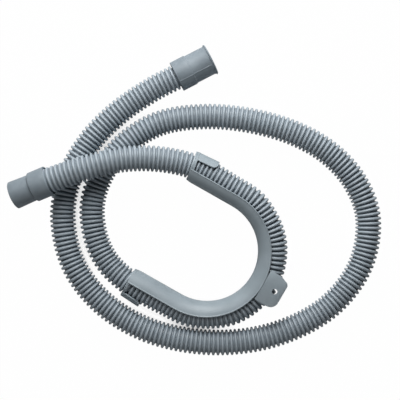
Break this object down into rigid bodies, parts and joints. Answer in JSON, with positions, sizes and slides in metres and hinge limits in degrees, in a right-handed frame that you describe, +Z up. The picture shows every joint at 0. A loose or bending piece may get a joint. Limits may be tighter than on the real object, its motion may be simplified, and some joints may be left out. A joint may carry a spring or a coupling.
{
  "type": "washing machine drain hose",
  "caption": "Corrugated grey drain hose lying in loose loops, with a moulded cuff on each end and a U-shaped guide clipped round it that hooks it over a sink or standpipe.",
  "frame": {"origin": "On the floor, under the middle of the box round the whole hose as it lies", "axes": "+X is the long side of the coil, away from the drain end; +Y is towards the machine end; +Z is up from the floor"},
  "size_m": [0.3397, 0.285, 0.0491],
  "materials": {
    "hose_plastic": "satin",
    "cuff_rubber": "matte",
    "guide_plastic": "satin"
  },
  "bodies": {
    "root": {"hose": "hose_plastic", "machine_cuff": "cuff_rubber", "drain_cuff": "cuff_rubber", "hook_guide": "guide_plastic"}
  },
  "joints": []
}
